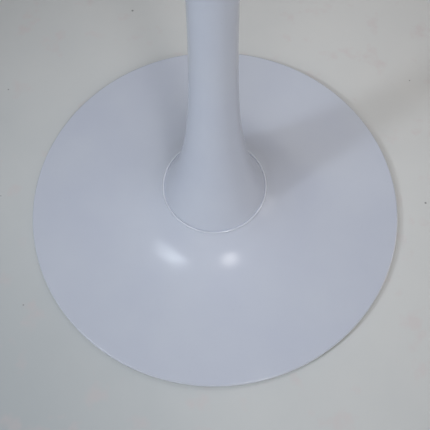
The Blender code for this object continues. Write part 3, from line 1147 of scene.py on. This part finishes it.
@dataclass
class TieRod:
    """Threaded rod that clamps the table together, with its washers and nut."""

    pitch: float = 1.75 * MM
    thread: float = 45 * MM
    nut_flats: float = 19 * MM
    split_gap: float = 2.2 * MM
    split_slant: float = math.radians(20)

    def build(self) -> None:
        """Make the rod, the plain washer, the split washer and the nut."""
        low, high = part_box("tie_rod")
        radius = high.x
        zones = [
            (low.z, low.z + self.thread, True),
            (low.z + self.thread, high.z - self.thread, False),
            (high.z - self.thread, high.z, True),
        ]
        rod = threaded("tie_rod", radius, self.pitch, zones, Vector((0, 0, 0)))
        show(rod, ZINC, "tie_rod")
        bore = radius + 0.45 * MM
        low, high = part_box("rod_washer")
        washer = self.plain_ring("rod_washer", bore, high.x, low.z, high.z)
        show(washer, ZINC, "rod_washer")
        low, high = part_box("split_washer")
        ring = self.plain_ring("split_washer", bore, -low.x, low.z, high.z)
        slot = bmesh.new()
        bmesh.ops.create_cube(slot, size=1.0)
        bmesh.ops.scale(slot, vec=(12 * MM, self.split_gap, 8 * MM), verts=slot.verts)
        turn = Matrix.Rotation(self.split_slant, 3, "X")
        bmesh.ops.rotate(slot, cent=(0, 0, 0), matrix=turn, verts=slot.verts)
        centre = Vector((9 * MM, 0.0, (low.z + high.z) / 2))
        bmesh.ops.translate(slot, vec=centre, verts=slot.verts)
        split = worked(ring, [finished(slot, "washer_slot")], Joinery.CUT)
        show(split, OXIDE, "split_washer")
        self.nut(bore)

    def plain_ring(
        self, name: str, inner: float, outer: float, low: float, high: float
    ) -> bpy.types.Mesh:
        """Ring with small rounded edges."""
        corners = [(outer, high), (outer, low), (inner, low), (inner, high)]
        return turned(name, softened(corners, {i: 0.3 * MM for i in range(4)}, 3), 96)

    def nut(self, bore: float) -> None:
        """Make the nut: a hexagon whose corners are turned off at both faces.

        Args:
            bore: Radius of its hole.
        """
        low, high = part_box("rod_nut")
        spot = Vector((0, 0, 0))
        corner = self.nut_flats / math.sqrt(3)
        face = self.nut_flats * 0.48
        drop = (corner + 0.2 * MM - face) * math.tan(math.radians(30))
        hexagon = prism("rod_nut", self.nut_flats, low.z, high.z, spot)
        barrel = [
            (face, high.z), (corner + 0.2 * MM, high.z - drop), (corner + 0.2 * MM, low.z + drop),
            (face, low.z), (bore + 0.8 * MM, low.z), (bore, low.z + 0.8 * MM),
            (bore, high.z - 0.8 * MM), (bore + 0.8 * MM, high.z),
        ]
        nut = worked(hexagon, [turned("barrel", barrel, 96)], Joinery.KEEP_COMMON)
        show(nut, ZINC, "rod_nut")


@dataclass
class LevellingFoot:
    """One foot: a pad that stays square and a threaded stud that turns in it."""

    index: int
    pitch: float = 1.25 * MM
    shank: float = 3.85 * MM
    grips: int = 24
    grip_depth: float = 0.5 * MM
    key_hole: float = 3.8 * MM
    cavity: float = 6.8 * MM
    floor: float = 1.2 * MM
    roof: float = 1.0 * MM
    socket_flats: float = 5.0 * MM

    def build(self) -> None:
        """Make the pad and the stud on their two bodies."""
        self.pad(f"foot_pad_{self.index}", f"foot_{self.index}")
        self.stud(f"foot_stud_{self.index}", f"stud_{self.index}")

    def pad(self, node: str, body: str) -> None:
        """Make the pad: a ribbed rim, a floor with the key hole and a roof round the stud.

        Args:
            node: CAD node that it stands for.
            body: CAD body that it rides on.
        """
        low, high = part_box(node)
        outer = (high.x - low.x) / 2
        stud_hole = 4.2 * MM
        rows = [
            (outer - 1.7 * MM, high.z, 0.0), (outer - 1.1 * MM, high.z - 0.4 * MM, 0.0),
            (outer, high.z - 1.5 * MM, self.grip_depth), (outer, low.z + 0.9 * MM, self.grip_depth),
            (outer - 0.2 * MM, low.z + 0.3 * MM, 0.0), (outer - 0.7 * MM, low.z, 0.0),
            (self.key_hole + 0.4 * MM, low.z, 0.0), (self.key_hole, low.z + 0.4 * MM, 0.0),
            (self.key_hole, self.floor, 0.0), (self.cavity, self.floor, 0.0),
            (self.cavity, high.z - self.roof, 0.0), (stud_hole, high.z - self.roof, 0.0),
            (stud_hole, high.z - 0.2 * MM, 0.0), (stud_hole + 0.3 * MM, high.z, 0.0),
        ]
        show(ribbed(node, rows, self.grips, middle(node)), NYLON, node, body)

    def stud(self, node: str, body: str) -> None:
        """Make the stud: flange, thread and a hexagonal socket from below.

        Args:
            node: CAD node that it stands for.
            body: CAD body that it rides on.
        """
        low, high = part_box(node)
        spot = middle(node)
        flange = (high.x - low.x) / 2
        flange_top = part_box(f"foot_pad_{self.index}")[1].z - self.roof - 0.3 * MM
        start = flange_top + 0.4 * MM
        zones = [(low.z + 0.2 * MM, start, False), (start, high.z, True)]
        bar = threaded(node, self.shank, self.pitch, zones, spot)
        corners = [(0.0, flange_top), (flange, flange_top), (flange, low.z), (0.0, low.z)]
        head = turned("flange", softened(corners, {1: 0.3 * MM, 2: 0.3 * MM}, 3), 64, spot)
        joined = worked(bar, [head], Joinery.JOIN)
        socket = prism("socket", self.socket_flats, low.z - 1 * MM, low.z + 3.5 * MM, spot)
        show(worked(joined, [socket], Joinery.CUT), ZINC, node, body)


# ---------------------------------------------------------------------------
# Studio
# ---------------------------------------------------------------------------

class Housing(Enum):
    """Kind of lamp."""

    SOFTBOX = "AREA"
    SPOT = "SPOT"


@dataclass(frozen=True)
class Lamp:
    """A lamp set by its bearing and height angle as seen from the base.

    A mirrored lamp shows in glossy surfaces. One that doesn't light only shows there.
    """

    name: str
    housing: Housing
    bearing: float
    elevation: float
    distance: float
    power: float
    width: float
    height: float
    aim: tuple[float, float, float] = (0.0, 0.0, 0.02)
    beam: float = 180.0
    tint: str = "#FFFFFF"
    roll: float = 0.0
    mirrored: bool = False
    lights: bool = True

    def place(self) -> Vector:
        """Where the lamp hangs.

        Returns:
            Its place, in metres.
        """
        turn, lift = math.radians(self.bearing), math.radians(self.elevation)
        flat = self.distance * math.cos(lift)
        return Vector((
            flat * math.cos(turn), flat * math.sin(turn), 0.02 + self.distance * math.sin(lift)
        ))

    def build(self) -> None:
        """Make the lamp. It reaches the base as if the top weren't fitted."""
        data = bpy.data.lights.new(self.name, self.housing.value)
        data.energy = self.power
        data.color = linear(self.tint)[:3]
        if self.housing is Housing.SPOT:
            data.spot_size = math.radians(self.beam)
            data.spot_blend = 1.0
            data.shadow_soft_size = self.width / 2
        else:
            data.shape = "ELLIPSE"
            data.size, data.size_y = self.width, self.height
            data.spread = math.radians(self.beam)
        lamp = bpy.data.objects.new(self.name, data)
        bpy.context.scene.collection.objects.link(lamp)
        lamp.location = self.place()
        toward = Vector(self.aim) - lamp.location
        turned_by = Quaternion((0.0, 0.0, 1.0), math.radians(self.roll))
        lamp.rotation_euler = (toward.to_track_quat("-Z", "Y") @ turned_by).to_euler()
        lamp.visible_camera = False
        lamp.visible_glossy = self.mirrored
        lamp.visible_diffuse = self.lights
        passed = bpy.data.collections.new(self.name + "_passes")
        lamp.light_linking.blocker_collection = passed
        for name in ("tabletop_fine", "top_plate_fine"):
            passed.objects.link(bpy.data.objects[name])
        for entry in passed.collection_objects:
            entry.light_linking.link_state = "EXCLUDE"


@dataclass
class Studio:
    """Pale floor, soft lamps and the camera."""

    lens: float = 50.23
    tilt: float = 66.59
    roll: float = -0.64
    camera_back: float = 0.3204
    camera_up: float = 0.7009
    ambient: float = 0.244
    lamps: list[Lamp] = field(default_factory=list)

    def build(self) -> None:
        """Make the floor, the lamps, the surroundings and the camera."""
        self.floor()
        for lamp in self.lamps:
            lamp.build()
        self.surroundings()
        self.camera()

    def floor(self) -> None:
        """Make a wide floor that isn't part of the table."""
        shape = bmesh.new()
        bmesh.ops.create_grid(shape, x_segments=1, y_segments=1, size=20.0)
        mesh = bpy.data.meshes.new("floor")
        shape.to_mesh(mesh)
        shape.free()
        mesh.materials.append(FLOOR.material())
        floor = bpy.data.objects.new("floor", mesh)
        bpy.context.scene.collection.objects.link(floor)

    def surroundings(self) -> None:
        """Even, dim surroundings."""
        world = bpy.data.worlds.new("studio")
        bpy.context.scene.world = world
        world.use_nodes = True
        shader = world.node_tree.nodes["Background"]
        shader.inputs["Color"].default_value = linear("#FFFCFA")
        shader.inputs["Strength"].default_value = self.ambient

    def camera(self) -> None:
        """Make the camera: in front, high up, looking steeply down at the base."""
        data = bpy.data.cameras.new("camera")
        data.lens = self.lens
        data.sensor_width = 36.0
        data.clip_start = 0.01
        data.clip_end = 50.0
        made = bpy.data.objects.new("camera", data)
        bpy.context.scene.collection.objects.link(made)
        made.location = (0.0, -self.camera_back, self.camera_up)
        pitch = Matrix.Rotation(math.radians(90.0 - self.tilt), 4, "X")
        roll = Matrix.Rotation(math.radians(self.roll), 4, "Z")
        made.rotation_euler = (pitch @ roll).to_euler()
        bpy.context.scene.camera = made


def studio() -> Studio:
    """Two key lamps in front, whose reflections show on the flare, an overhead and fills.

    Returns:
        The studio, not built yet.
    """
    left_aim, right_aim = (0.02, -0.04, 0.0), (0.06, -0.10, 0.0)
    over_aim, column_aim, card_aim = (0.08, 0.02, 0.0), (0.0, 0.0, 0.35), (0.0, 0.0, 0.30)
    box, spot = Housing.SOFTBOX, Housing.SPOT
    cool, warm = "#EDF6FF", "#FFF9F4"
    return Studio(lamps=[
        Lamp("left_strip", box, -150.5, 58.8, 2.0, 4.5, 0.75, 0.31, tint=cool, roll=25.0, mirrored=True),
        Lamp("left_key", spot, -148.5, 42.5, 2.4, 42.0, 0.26, 0.26, left_aim, 30.0, tint=cool),
        Lamp("right_round", box, -69.8, 58.3, 2.0, 3.3, 0.38, 0.42, mirrored=True),
        Lamp("right_key", spot, -71.0, 53.0, 2.4, 22.4, 0.26, 0.26, right_aim, 24.0, tint=warm),
        Lamp("overhead", spot, 50.0, 72.0, 2.5, 29.1, 0.80, 0.80, over_aim, 26.0, tint=warm),
        Lamp("right_fill", box, 0.0, 12.0, 1.8, 2.6, 1.0, 1.0, card_aim, tint=warm, mirrored=True),
        Lamp("column_fill", box, -98.5, 35.8, 1.25, 0.35, 0.6, 0.6, column_aim, 60.0),
        Lamp("back_card", box, 75.0, 50.0, 2.0, 5.5, 1.6, 1.6, mirrored=True, lights=False),
    ])


def main() -> None:
    """Build the table and its studio."""
    logging.basicConfig(level=logging.INFO, format="%(name)s %(message)s")
    Tabletop().build()
    TopFixing().build()
    Column().build()
    Base().build()
    TieRod().build()
    for index in range(1, len(numbered("foot_pad")) + 1):
        LevellingFoot(index).build()
    studio().build()
    view = bpy.context.scene.view_settings
    view.view_transform = "Standard"
    bpy.context.scene.cycles.use_denoising = True


if __name__ == "__main__":
    main()
